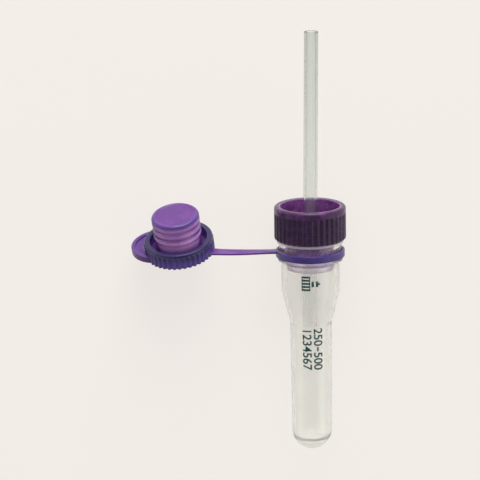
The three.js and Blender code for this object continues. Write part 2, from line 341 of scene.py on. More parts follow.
def node(
    tree: bpy.types.NodeTree,
    kind: str,
    inputs: dict[str | int, object] | None = None,
    **settings: object,
) -> bpy.types.Node:
    """Add one node with its settings and links.

    Args:
        tree: the node tree.
        kind: the node's type name after ShaderNode.
        inputs: for each input by name or number a value, a socket to link, or a node for its first output.
        **settings: the node's own properties.

    Returns:
        The new node.
    """
    made = tree.nodes.new(f"ShaderNode{kind}")
    for key, value in settings.items():
        setattr(made, key, value)
    for key, value in (inputs or {}).items():
        source = value.outputs[0] if isinstance(value, bpy.types.Node) else value
        if isinstance(source, bpy.types.NodeSocket):
            tree.links.new(source, made.inputs[key])
        else:
            made.inputs[key].default_value = source
    return made


def new_material(name: str) -> tuple[bpy.types.Material, bpy.types.NodeTree, bpy.types.Node]:
    """An empty node material.

    Args:
        name: the material's name.

    Returns:
        The material, its tree and its output node.
    """
    material = bpy.data.materials.new(name)
    material.use_nodes = True
    tree = material.node_tree
    tree.nodes.clear()
    return material, tree, node(tree, "OutputMaterial")


def lit_inside(
    tree: bpy.types.NodeTree,
    output: bpy.types.Node,
    body: bpy.types.Node,
    passed: tuple[str, float],
    drunk: tuple[str, float],
) -> None:
    """Close a see-through plastic: lamps shine through its walls, and its inside drinks light.

    Args:
        tree: the plastic's node tree.
        output: its output node.
        body: its surface shader.
        passed: the colour of the light that a wall lets through to what is behind it, and its share.
        drunk: the colour that is left of white light, and how much goes in a millimetre.
    """
    colour, share = passed
    passing = node(
        tree, "BsdfTransparent", {"Color": tuple(share * c for c in linear(colour)[:3]) + (1.0,)}
    )
    path = node(tree, "LightPath")
    mixed = node(tree, "MixShader", {0: path.outputs["Is Shadow Ray"], 1: body, 2: passing})
    tree.links.new(mixed.outputs[0], output.inputs["Surface"])
    colour, loss_per_mm = drunk
    drink = node(tree, "VolumeAbsorption", {"Color": linear(colour), "Density": loss_per_mm / MM})
    tree.links.new(drink.outputs[0], output.inputs["Volume"])


@dataclass(frozen=True)
class ClearPlastic:
    """Injection moulded see-through plastic: it bends what is behind it, with a milky haze in the wall.

    The eye sees the background through it, a little greyer, and milky where the plastic is thick, because
    thick walls cool slowly and cloud. Painted shade darkens its colour towards edge where the wall is seen
    edge on, for the dark outline that bent light gives. A mould's polish leaves slow waves a few millimetres
    long and a fine satin of 0.3 mm. edge_shade_width is how far in from its outline the painted edge shade
    reaches, up to 1, and clear_edge_shade is the share of it that is left where the wall is clear.
    """

    name: str
    tint: str
    streak: str
    dull: str
    edge: str
    through: str
    loss_per_mm: float
    ior: float
    clear: float
    milky: float
    least_rough: float
    most_rough: float
    wave_mm: float
    edge_shade_width: float
    lets_light_by: float
    satin_mm: float = 0.3
    clear_edge_shade: float = 0.1

    def build(self) -> bpy.types.Material:
        """Make the plastic, which lets lamps reach what is inside it.

        Returns:
            The material.
        """
        material, tree, output = new_material(self.name)
        place = node(tree, "TexCoord").outputs["Object"]
        wave = node(
            tree,
            "TexNoise",
            {"Vector": place, "Scale": 1 / (self.wave_mm * MM), "Detail": 1.0, "Roughness": 0.4},
        )
        satin = node(tree, "TexNoise", {"Vector": place, "Scale": 1 / (self.satin_mm * MM), "Detail": 2.0})
        wall = node(tree, "Attribute", attribute_name="thin").outputs["Fac"]
        colour = node(
            tree, "Mix", {0: wave, 6: linear(self.tint), 7: linear(self.streak)}, data_type="RGBA"
        )
        toned = node(tree, "Mix", {0: wall, 6: linear(self.dull), 7: colour.outputs[2]}, data_type="RGBA")
        # Painted shade: the colour goes towards edge where the wall is seen edge on, less where the wall is
        # clear.
        outline_shade_facing = node(tree, "LayerWeight", {"Blend": self.edge_shade_width}).outputs["Facing"]
        bare = node(tree, "MapRange", {"Value": wall, "To Min": 1.0, "To Max": self.clear_edge_shade})
        rim = node(tree, "Math", {0: outline_shade_facing, 1: bare}, operation="MULTIPLY")
        edge_shaded_colour = node(tree, "Mix", {0: rim, 6: toned.outputs[2], 7: linear(self.edge)}, data_type="RGBA")
        clear = node(tree, "MapRange", {"Value": wall, "To Min": self.milky, "To Max": self.clear})
        rough = node(
            tree,
            "MapRange",
            {"Value": satin, **NOISE_SPAN, "To Min": self.least_rough, "To Max": self.most_rough},
        )
        relief = node(tree, "Bump", {"Height": wave, "Strength": 0.01, "Distance": 0.05 * MM})
        body = node(
            tree,
            "BsdfPrincipled",
            {
                "Base Color": edge_shaded_colour.outputs[2],
                "Roughness": rough,
                "IOR": self.ior,
                "Transmission Weight": clear,
                "Normal": relief,
            },
        )
        lit_inside(tree, output, body, ("#ffffff", self.lets_light_by), (self.through, self.loss_per_mm))
        return material


@dataclass(frozen=True)
class TintedPolyethylene:
    """Injection moulded polyethylene with a strong dye: thin walls glow, thick ones go dark.

    tones gives the colour the eye sees from the thickest wall, at 0, to the thinnest, at 1: where the
    wall is thin the light comes through pale and rosy, and where it is thick the dye drinks it and only
    the satin skin shows, colder and darker. Some painted values also hold painted light and shade, as each
    piece's walls say. Painted shade darkens a wall seen edge on, as a thicker wall would look, down by
    outline_shade_drop at its outline. Flow clouds a few millimetres long shift the tone a little, and the
    mould's fine leather of about 0.15 mm keeps highlights soft. clear_thick may be below 0: then a wall lets
    nothing be seen through it until it is well on the way to thin.
    """

    name: str
    tones: tuple[tuple[float, str], ...]
    cloud: float
    cloud_mm: float
    outline_shade_drop: float
    through: str
    loss_per_mm: float
    gloss: float
    clear_thick: float
    clear_thin: float
    least_rough: float
    most_rough: float
    lets_light_by: float
    leather_mm: float = 0.15
    ior: float = 1.51

    def wall(self, tree: bpy.types.NodeTree, place: bpy.types.NodeSocket) -> bpy.types.Node:
        """How thin the wall looks: the painted value with clouds, and less where it is seen edge on, which is
        painted shade.

        Args:
            tree: the plastic's node tree.
            place: its coordinates.

        Returns:
            The node that gives it, 0 for thick and 1 for thin.
        """
        flow = node(
            tree,
            "TexNoise",
            {"Vector": place, "Scale": 1 / (self.cloud_mm * MM), "Detail": 3.0, "Distortion": 0.6},
        )
        painted = node(tree, "Attribute", attribute_name="thin").outputs["Fac"]
        shift = node(
            tree,
            "MapRange",
            {"Value": flow, **NOISE_SPAN, "To Min": -self.cloud, "To Max": self.cloud},
        )
        # Painted shade: a wall seen edge on is darkened by outline_shade_drop at its outline.
        outline_shade_facing = node(tree, "LayerWeight", {"Blend": 0.5}).outputs["Facing"]
        outline_shade = node(
            tree, "MapRange", {"Value": outline_shade_facing, "From Min": 0.5, "To Min": 1.0, "To Max": 1 - self.outline_shade_drop}
        )
        clouded = node(tree, "Math", {0: painted, 1: shift}, operation="ADD")
        return node(tree, "Math", {0: clouded, 1: outline_shade}, operation="MULTIPLY", use_clamp=True)

    def build(self) -> bpy.types.Material:
        """Make the plastic: a satin skin over a body that drinks light.

        Returns:
            The material.
        """
        material, tree, output = new_material(self.name)
        place = node(tree, "TexCoord").outputs["Object"]
        grain = node(tree, "TexNoise", {"Vector": place, "Scale": 1 / (self.leather_mm * MM), "Detail": 2.0})
        wall = self.wall(tree, place)
        tone = node(tree, "ValToRGB", {"Fac": wall})
        ramp = tone.color_ramp.elements
        for where, _ in self.tones[1:-1]:
            ramp.new(where)
        for stop, (where, colour) in zip(ramp, self.tones):
            stop.position, stop.color = where, linear(colour)
        clear = node(tree, "MapRange", {"Value": wall, "To Min": self.clear_thick, "To Max": self.clear_thin})
        rough = node(
            tree,
            "MapRange",
            {"Value": grain, **NOISE_SPAN, "To Min": self.least_rough, "To Max": self.most_rough},
        )
        relief = node(tree, "Bump", {"Height": grain, "Strength": 0.05, "Distance": 0.01 * MM})
        body = node(
            tree,
            "BsdfPrincipled",
            {
                "Base Color": tone,
                "Roughness": rough,
                "IOR": self.ior,
                "Specular IOR Level": self.gloss,
                "Transmission Weight": clear,
                "Normal": relief,
            },
        )
        lit_inside(tree, output, body, (self.through, self.lets_light_by), (self.through, self.loss_per_mm))
        return material


@dataclass(frozen=True)
class PadInk:
    """Pad-printed ink: a matt film some hundredths of a millimetre thick, uneven where the pad left less."""

    name: str
    full: str
    thin: str
    spot_mm: float = 0.12

    def build(self) -> bpy.types.Material:
        """Make the ink, dark with paler spots of about 0.1 mm.

        Returns:
            The material.
        """
        material, tree, output = new_material(self.name)
        place = node(tree, "TexCoord").outputs["Object"]
        spots = node(tree, "TexNoise", {"Vector": place, "Scale": 1 / (self.spot_mm * MM), "Detail": 3.0})
        share = node(tree, "MapRange", {"Value": spots, "From Min": 0.45, "From Max": 0.75})
        colour = node(
            tree, "Mix", {0: share, 6: linear(self.full), 7: linear(self.thin)}, data_type="RGBA"
        )
        body = node(
            tree, "BsdfPrincipled", {"Base Color": colour.outputs[2], "Roughness": 0.55, "IOR": 1.5}
        )
        tree.links.new(body.outputs[0], output.inputs["Surface"])
        return material


class Finish(Enum):
    """The object's finishes, one for each thing it is made of."""

    # Polypropylene from a polished mould: clear, with a slight haze and a satin gloss.
    TUBE = ClearPlastic(
        name="clear_polypropylene_moulded",
        tint="#fdfdfb",
        streak="#f9faf7",
        dull="#f2f3ee",
        # edge: the painted shade at the outline, barely darker than the tint.
        edge="#fafaf8",
        through="#cccec4",
        loss_per_mm=0.05,
        ior=1.49,
        clear=0.985,
        milky=0.4,
        least_rough=0.05,
        most_rough=0.12,
        wave_mm=4.0,
        edge_shade_width=0.2,
        lets_light_by=0.93,
    )
    # Drawn, not moulded, so smoother than the tube, with painted dark edges for the shade where its bore
    # bends the light.
    CAPILLARY = ClearPlastic(
        name="capillary_plastic_drawn",
        tint="#ffffff",
        streak="#fcfefc",
        dull="#f1f5f2",
        # edge: the painted dark outline.
        edge="#4c5a55",
        through="#8e9690",
        loss_per_mm=0.04,
        ior=1.49,
        clear=0.98,
        milky=0.98,
        least_rough=0.02,
        most_rough=0.05,
        wave_mm=6.0,
        edge_shade_width=0.43,
        lets_light_by=0.92,
    )
    # Plum dye: nearly black in the thick collar, rosy in the thin plug, where light comes through; the vivid
    # purple at 0.55 is the recess's translucent wall, painted as lit from its open top.
    ADAPTER = TintedPolyethylene(
        name="plum_polyethylene_moulded",
        tones=((0.0, "#33203c"), (0.3, "#55305f"), (0.55, "#a05cae"), (0.85, "#b8a4ee"), (1.0, "#fdf6ff")),
        cloud=0.13,
        cloud_mm=1.6,
        outline_shade_drop=0.05,
        through="#c99ad6",
        loss_per_mm=0.15,
        gloss=0.25,
        clear_thick=0.0,
        clear_thin=0.92,
        least_rough=0.2,
        most_rough=0.3,
        lets_light_by=0.75,
    )
    # Violet dye in a soft plastic: slate blue in the thick skirt and ring, orchid in the cored plug; the
    # stopper's painted light and shade use the tones between.
    TETHER = TintedPolyethylene(
        name="violet_polyethylene_moulded",
        tones=(
            (0.0, "#322d56"),
            (0.1, "#433674"),
            (0.25, "#6853aa"),
            (0.4, "#5c4080"),
            (0.5, "#643784"),
            (0.7, "#8c58b0"),
            (1.0, "#f8b8ff"),
        ),
        cloud=0.04,
        cloud_mm=3.0,
        outline_shade_drop=0.8,
        through="#b070cc",
        loss_per_mm=0.4,
        gloss=0.32,
        clear_thick=-0.4,
        clear_thin=0.25,
        least_rough=0.24,
        most_rough=0.32,
        lets_light_by=0.8,
    )
    # Pad ink: matt and dark green, a little paler where the film is thin.
    INK = PadInk(name="dark_green_pad_ink", full="#0f3f3c", thin="#2c6661")

    def material(self) -> bpy.types.Material:
        """The finish's material, built once."""
        return bpy.data.materials.get(self.value.name) or self.value.build()


# ---- the tube ----


@dataclass(frozen=True)
class Tube:
    """The clear tube: domed foot, lower body, cone, wide body, bead, ring seat, flange and neck.

    The hazes are the share of milkiness in the body's walls, and what the bead and the floor add to it.
    gate is the outline of the mould gate's small stub, and gate_root is where the foot's dome begins.
    """

    length: float = 42.4
    outer: float = 5.4
    bore: float = 4.45
    lower: float = 3.88
    lower_wall: float = 0.74
    foot: float = 3.73
    floor: float = 2.0
    floor_round: float = 1.5
    cone_low: float = 24.6
    cone_high: float = 30.6
    seat: float = 5.8
    seat_low: float = 36.6
    bead: float = 6.04
    bead_high: float = 37.1
    flange: float = 6.17
    flange_low: float = 39.9
    flange_high: float = 40.4
    neck: float = 5.25
    gate: tuple[tuple[float, float], ...] = ((0.0, 0.13), (0.24, 0.13), (0.29, 0.115), (0.33, 0.08))
    gate_root: float = 0.42
    body_haze: float = 0.1
    bead_haze: float = 0.15
    floor_haze: float = 0.3
    columns: int = 240

    def profile(self) -> Array:
        """Up the outside from the foot's middle, over the mouth and down the bore to the floor's middle.

        The foot is a quarter circle with the mould gate's small stub in its middle.

        Returns:
            (radius, height) rows.
        """
        lower_bore, foot_bore = self.lower - self.lower_wall, self.foot - self.lower_wall
        sweep = np.linspace(math.asin(self.gate_root / self.foot), np.pi / 2, 40)
        dome = self.foot * np.stack([np.sin(sweep), 1 - np.cos(sweep)], axis=1)
        corners = [
            (self.foot, self.foot, 0.0),
            (self.lower, self.cone_low - 0.2, 0.7),
            (self.outer, self.cone_high, 1.0),
            (self.outer, self.seat_low - 0.35, 0.3),
            (self.bead, self.seat_low, 0.14),
            (self.bead, self.bead_high, 0.12),
            (self.seat, self.bead_high + 0.06, 0.08),
            (self.seat, self.flange_low, 0.14),
            (self.flange, self.flange_low + 0.04, 0.1),
            (self.flange, self.flange_high, 0.16),
            (self.neck, self.flange_high, 0.12),
            (self.neck, self.length, 0.26),
            (self.bore, self.length, 0.26),
            (self.bore, self.cone_high - 0.25, 0.5),
            (lower_bore, self.cone_low - 0.35, 0.4),
            (foot_bore, self.floor, self.floor_round),
            (0.0, self.floor, 0.0),
        ]
        return np.concatenate([np.array(self.gate), dome, rounded(corners, closed=False, steps=7)[1:]])

    def walls(self, radius: Array, height: Array) -> Array:
        """How clear the plastic is: least at the solid flange, then at the bead and the solid foot.

        Args:
            radius: each point's distance from the axis.
            height: its height.

        Returns:
            1 for clear, less for milky.
        """
        rim = ease(self.flange - 0.5, self.flange - 0.2, radius) * ease(
            self.flange_low - 0.1, self.flange_low, height
        )
        below_seat = 1 - ease(self.seat_low + 1, self.seat_low + 2, height)
        bead = ease(self.bead - 0.2, self.bead, radius) * below_seat
        foot = 1 - ease(self.floor - 0.6, self.floor + 0.4, height)
        body = 1 - ease(self.seat_low - 0.6, self.seat_low + 0.8, height)
        haze = self.body_haze * body + self.bead_haze * bead + self.floor_haze * foot
        return 1 - np.maximum(rim, haze)

    def build(self) -> bpy.types.Object:
        """Make the tube on its body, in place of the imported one.

        Returns:
            The tube.
        """
        made = piece(
            "tube_shell", turned(self.profile(), self.columns).walled(self.walls), Finish.TUBE.material()
        )
        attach(made, "tube")
        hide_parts("tube_body")
        return made


# ---- the print on the tube ----


@dataclass(frozen=True)
class ScalePrint:
    """Plain print on the tube: a fill range and a row of numbers down the lower body, and a fill mark.

    size_per_height is the built-in letterform's size for a digit 1 high.
    """

    tube: Tube = field(default_factory=Tube)
    film: float = 0.03
    number_height: float = 1.7
    number_pitch: float = 1.15
    numbers_from: float = 23.65
    range_angle: float = 6.0
    number_angle: float = -25.0
    size_per_height: float = 1.38
    stroke_gain: float = 0.03
    dash: tuple[tuple[float, float], ...] = ((-0.4, 0.4), (0.62, 0.92))
    mark_angle: float = -1.0
    mark_from: float = 34.6
    mark_pitch: float = 0.6

    def wrapped(self, flat: Array, radius: float, angle: float, height: float) -> Array:
        """A flat drawing rolled on the tube, its reading direction down the tube and its top to the right.

        A point (u, v, w) goes to the angle + v / radius, the height - u and the radius + w.

        Args:
            flat: (u along the writing, v up the writing, w off the page) rows.
            radius: the tube's radius there.
            angle: where v = 0 comes, in degrees from the side that faces up, towards x.
            height: where u = 0 comes on the tube.

        Returns:
            Points in the tube's frame.
        """
        along, up, off = flat.T
        turn = np.radians(angle) + up / radius
        reach = radius + off
        return np.stack([reach * np.sin(turn), -reach * np.cos(turn), height - along], axis=1)

    def lower_radius(self, height: float) -> float:
        """The lower body's outside at a height: its radius grows evenly from foot to cone."""
        share = (height - self.tube.foot) / (self.tube.cone_low - self.tube.foot)
        return self.tube.foot + (self.tube.lower - self.tube.foot) * share

    def bar(self, along: tuple[float, float], up: tuple[float, float]) -> Shell:
        """A thin bar on the page, finely divided so that it can wrap round.

        Args:
            along: where it starts and ends along the writing.
            up: where it starts and ends up the writing.

        Returns:
            The bar as a closed shell on the page.
        """
        steps = 10
        rise = np.linspace(up[0], up[1], steps)
        low, high = -0.5 * self.film, self.film
        section = np.array([[along[0], low], [along[1], low], [along[1], high], [along[0], high]])
        grid = np.empty((steps, 4, 3))
        grid[:, :, 0], grid[:, :, 2] = section[None, :, 0], section[None, :, 1]
        grid[:, :, 1] = rise[:, None]
        ends = (grid[0].mean(axis=0), grid[-1].mean(axis=0))
        return skinned(grid, loop=False, poles=ends)

    def number(self, text: str) -> Shell:
        """A digit as a thin solid on the page, drawn with the plain letterform that is built in.

        Args:
            text: the digit.

        Returns:
            The digit as a closed shell on the page, standing on the line.
        """
        curve = bpy.data.curves.new("digit", "FONT")
        curve.body, curve.size, curve.extrude = text, self.number_height * self.size_per_height, self.film
        curve.align_x, curve.resolution_u, curve.offset = "CENTER", 6, self.stroke_gain
        holder = bpy.data.objects.new("digit", curve)
        bpy.context.scene.collection.objects.link(holder)
        bpy.context.view_layer.update()
        mesh = bpy.data.meshes.new_from_object(holder)
        points = np.empty(len(mesh.vertices) * 3)
        mesh.vertices.foreach_get("co", points)
        points = points.reshape(-1, 3)
        points[:, 1] -= points[:, 1].min()
        mesh.calc_loop_triangles()
        fans = np.empty(len(mesh.loop_triangles) * 3, np.int64)
        mesh.loop_triangles.foreach_get("vertices", fans)
        bpy.data.objects.remove(holder)
        bpy.data.curves.remove(curve)
        bpy.data.meshes.remove(mesh)
        return Shell(points, np.zeros((0, 4), np.int64), fans.reshape(-1, 3))

    def rolled(self, shell: Shell, radius: float, angle: float, height: float) -> Shell:
        """A shell on the page rolled on the tube and facing out; its arguments are those of wrapped."""
        return Shell(self.wrapped(shell.points, radius, angle, height), shell.quads, shell.fans).facing_out()

    def row(self, text: str, angle: float) -> Shell:
        """One row of plain digits down the lower body.

        Args:
            text: the digits, and a dash for a range.
            angle: where the row's line comes, in degrees from the side that faces up.

        Returns:
            The row as one shell.
        """
        signs = []
        for i, sign in enumerate(text):
            height = self.numbers_from - i * self.number_pitch
            flat = self.bar(*self.dash) if sign == "-" else self.number(sign)
            signs.append(self.rolled(flat, self.lower_radius(height), angle, height))
        return reduce(Shell.joined, signs)

    def fill_mark(self) -> Shell:
        """The level to fill to: a ladder of short bars between two rails, with an arrow beside it.

        Returns:
            The mark as one shell.
        """
        starts = [self.mark_pitch * i for i in range(5)]
        bars = [((start, start + 0.36), (-1.7, -0.1)) for start in starts]
        rails = [((0.0, 2.76), (-1.7, -1.52)), ((0.0, 2.76), (-0.28, -0.1))]
        arrow = [((0.95, 2.0), (0.15, 0.6)), ((0.95, 2.0), (0.95, 1.4)), ((1.3, 1.65), (1.4, 1.75))]
        flat = reduce(Shell.joined, [self.bar(along, up) for along, up in bars + rails + arrow])
        return self.rolled(flat, self.tube.outer, self.mark_angle, self.mark_from)

    def build(self) -> list[bpy.types.Object]:
        """Make the print, riding on the tube.

        Returns:
            Its three pieces.
        """
        made = [
            piece("print_fill_range", self.row("250-500", self.range_angle), Finish.INK.material()),
            piece("print_numbers", self.row("1234567", self.number_angle), Finish.INK.material()),
            piece("print_fill_mark", self.fill_mark(), Finish.INK.material()),
        ]
        for each in made:
            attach(each, "tube")
        return made


# ---- the capillary adapter ----


@dataclass(frozen=True)
class Adapter:
    """The plum adapter: ribbed collar with an open recess, neck groove, hollow plug and capillary boss.

    The tones say how thin each wall looks, 0 for thick and 1 for thin, and some hold painted light and shade.
    The plug's falls by plug_neck_shade between the two heights neck_shade_heights: painted shade in the neck,
    where the ring and the collar keep light from it. recess_light_tone paints the recess lighter, as its
    translucent wall looks where light comes in at the open top, and rim_highlight_tone paints a highlight on
    the rim's inner edge.
    """

    ribs: int = 36
    rib_height: float = 0.2
    tip: float = 6.65
    bottom: float = 40.5
    top: float = 46.81
    band: float = 1.15
    collar_bore: float = 5.37
    web_low: float = 42.55
    web_high: float = 43.35
    recess: float = 5.45
    plug: float = 4.39
    plug_bore: float = 3.64
    plug_low: float = 34.9
    hole: float = 1.4
    boss: float = 2.25
    boss_low: float = 38.2
    countersink: float = 0.9
    columns_per_rib: int = 12
    plug_tone: float = 1.15
    plug_neck_shade: float = 0.29
    neck_shade_heights: tuple[float, float] = (37.0, 38.8)
    recess_light_tone: float = 0.55
    rim_highlight_tone: float = 0.9
    band_tone: float = 0.28

    def profile(self) -> Array:
        """A closed section: boss, plug, neck groove, collar's outside, rim, recess and hole.

        Returns:
            (radius, height) rows.
        """
        corners = [
            (self.hole, self.boss_low, 0.08),
            (self.boss, self.boss_low, 0.15),
            (self.boss + 0.1, self.web_low, 0.35),
            (self.plug_bore, self.web_low, 0.35),
            (self.plug_bore, self.plug_low, 0.12),
            (self.plug - 0.2, self.plug_low, 0.1),
            (self.plug, self.plug_low + 0.5, 0.5),
            (self.plug, self.web_low, 0.15),
            (self.collar_bore, self.web_low, 0.15),
            (self.collar_bore, self.bottom + 0.2, 0.1),
            (self.collar_bore + 0.2, self.bottom, 0.08),
            (self.tip - 0.26, self.bottom, 0.1),
            (self.tip, self.bottom + 0.24, 0.3),
            (self.tip, self.top - self.band - 0.35, 0.02),
            (self.tip, self.top - self.band, 0.02),
            (self.tip, self.top, 0.5),
            (self.recess, self.top, 0.28),
            (self.recess, self.web_high, 0.35),
            (self.hole + self.countersink, self.web_high, 0.1),
            (self.hole, self.web_high - 0.7, 0.15),
        ]
        return rounded(corners, closed=True, steps=6)

    def grip(self, radius: Array, height: Array, angle: Array) -> Array:
        """What the ribs take off the radius: rib height x |sin(half the ribs x angle)|^3, less at both ends.

        Args:
            radius: each point's distance from the axis.
            height: its height.
            angle: its angle round the axis.

        Returns:
            What to add to the radius, 0 or less.
        """
        start = ease(self.bottom + 0.05, self.bottom + 0.5, height)
        end = 1 - ease(self.top - self.band - 0.3, self.top - self.band, height)
        outside = ease(self.collar_bore + 0.6, self.tip - 0.1, radius)
        groove = np.abs(np.sin(self.ribs * angle / 2)) ** 3
        return -self.rib_height * groove * np.maximum(start, 0.5) * end * outside

    def walls(self, radius: Array, height: Array) -> Array:
        """How thin the wall is, with painted light and shade: the plug and the boss most, the recess in part,
        the collar least.

        Args:
            radius: each point's distance from the axis.
            height: its height.

        Returns:
            0 for thick, 1 or a little more for thin.
        """
        inner = 1 - ease(self.bottom - 0.8, self.web_low, height)
        # Painted shade: the plug darkens in the neck, where the ring and the collar keep light from it.
        plug = inner * (self.plug_tone - self.plug_neck_shade * ease(*self.neck_shade_heights, height))
        # Partly painted light: the recess's translucent wall, painted lighter as lit from the open top.
        recess = ease(self.web_high - 0.5, self.web_high + 0.2, height) * (
            1 - ease(self.recess - 0.1, self.recess + 0.4, radius)
        )
        band = ease(self.top - self.band - 0.6, self.top - self.band + 0.2, height)
        # Painted highlight on the rim's inner edge.
        edge = ease(self.top - 0.3, self.top - 0.05, height) * (
            1 - ease(self.recess + 0.15, self.recess + 0.5, radius)
        )
        inside = 1 - ease(self.plug, self.collar_bore, radius)
        rim = np.maximum(self.rim_highlight_tone * edge, self.band_tone * band)
        return np.maximum(plug * inside, np.maximum(self.recess_light_tone * recess, rim))

    def build(self) -> bpy.types.Object:
        """Make the adapter on its body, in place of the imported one.

        Returns:
            The adapter.
        """
        shell = turned(self.profile(), self.ribs * self.columns_per_rib, self.grip).walled(self.walls)
        made = piece("adapter_moulding", shell, Finish.ADAPTER.material())
        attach(made, "adapter")
        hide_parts("capillary_adapter")
        return made


# ---- the capillary ----


@dataclass(frozen=True)
class Capillary:
    """The straight capillary, open at both ends, leaning a little in its boss.

    Its painted edge shade is faint up to faint_shade_to and full from full_shade_from, where it is also a
    little greyer, both measured from its low end.
    """

    length: float = 55.7
    outer: float = 1.3
    bore: float = 0.98
    low_end: float = 23.8
    pivot: float = 40.775
    lean: float = 0.8
    faint_shade_to: float = 22.0
    full_shade_from: float = 25.0
    columns: int = 96

    def build(self) -> bpy.types.Object:
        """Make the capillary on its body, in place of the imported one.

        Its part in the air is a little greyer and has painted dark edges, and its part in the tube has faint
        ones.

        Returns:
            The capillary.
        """
        corners = [
            (self.bore, 0.0, 0.08),
            (self.outer, 0.0, 0.1),
            (self.outer, self.length, 0.1),
            (self.bore, self.length, 0.08),
        ]
        # thin: 1 up to faint_shade_to, where the painted edge shade is faint, 0 from full_shade_from, where
        # it is full.
        shell = turned(rounded(corners, closed=True, steps=4), self.columns).walled(
            lambda _, height: 1 - ease(self.faint_shade_to, self.full_shade_from, height)
        )
        angle = math.radians(self.lean)
        lean = np.array(
            [[math.cos(angle), 0, math.sin(angle)], [0, 1, 0], [-math.sin(angle), 0, math.cos(angle)]]
        )
        shell = shell.moved(np.eye(3), np.array([0, 0, self.low_end - self.pivot]))
        shell = shell.moved(lean, np.array([0, 0, self.pivot]))
        made = piece("capillary_straw", shell, Finish.CAPILLARY.material())
        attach(made, "capillary")
        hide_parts("capillary")
        return made


# ---- the tether: ring, strap and stopper ----


@dataclass(frozen=True)
class TetherRing:
    """The ring round the tube's seat; tone is how thin its wall looks, 0 for thick and 1 for thin."""

    inner: float = 5.95
    outer: float = 6.4
    bottom: float = 37.2
    height: float = 1.3
    tone: float = 0.13
    inner_glow: float = 0.8
    columns: int = 240

    def walls(self, radius: Array, _: Array) -> Array:
        """How thin the wall looks: light gathers on the inner face, which the clear seat lights."""
        inside = 1 - ease(self.inner + 0.05, self.inner + 0.2, radius)
        return self.tone + self.inner_glow * inside

    def build(self) -> bpy.types.Object:
        """Make the ring on its body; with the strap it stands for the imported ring.

        Returns:
            The ring.
        """
        top = self.bottom + self.height
        corners = [
            (self.inner, self.bottom, 0.08),
            (self.outer, self.bottom, 0.16),
            (self.outer, top, 0.16),
            (self.inner, top, 0.08),
        ]
        loop = turned(rounded(corners, closed=True), self.columns).walled(self.walls)
        made = piece("tether_loop", loop, Finish.TETHER.material())
        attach(made, "ring")
        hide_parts("tether_ring")
        return made


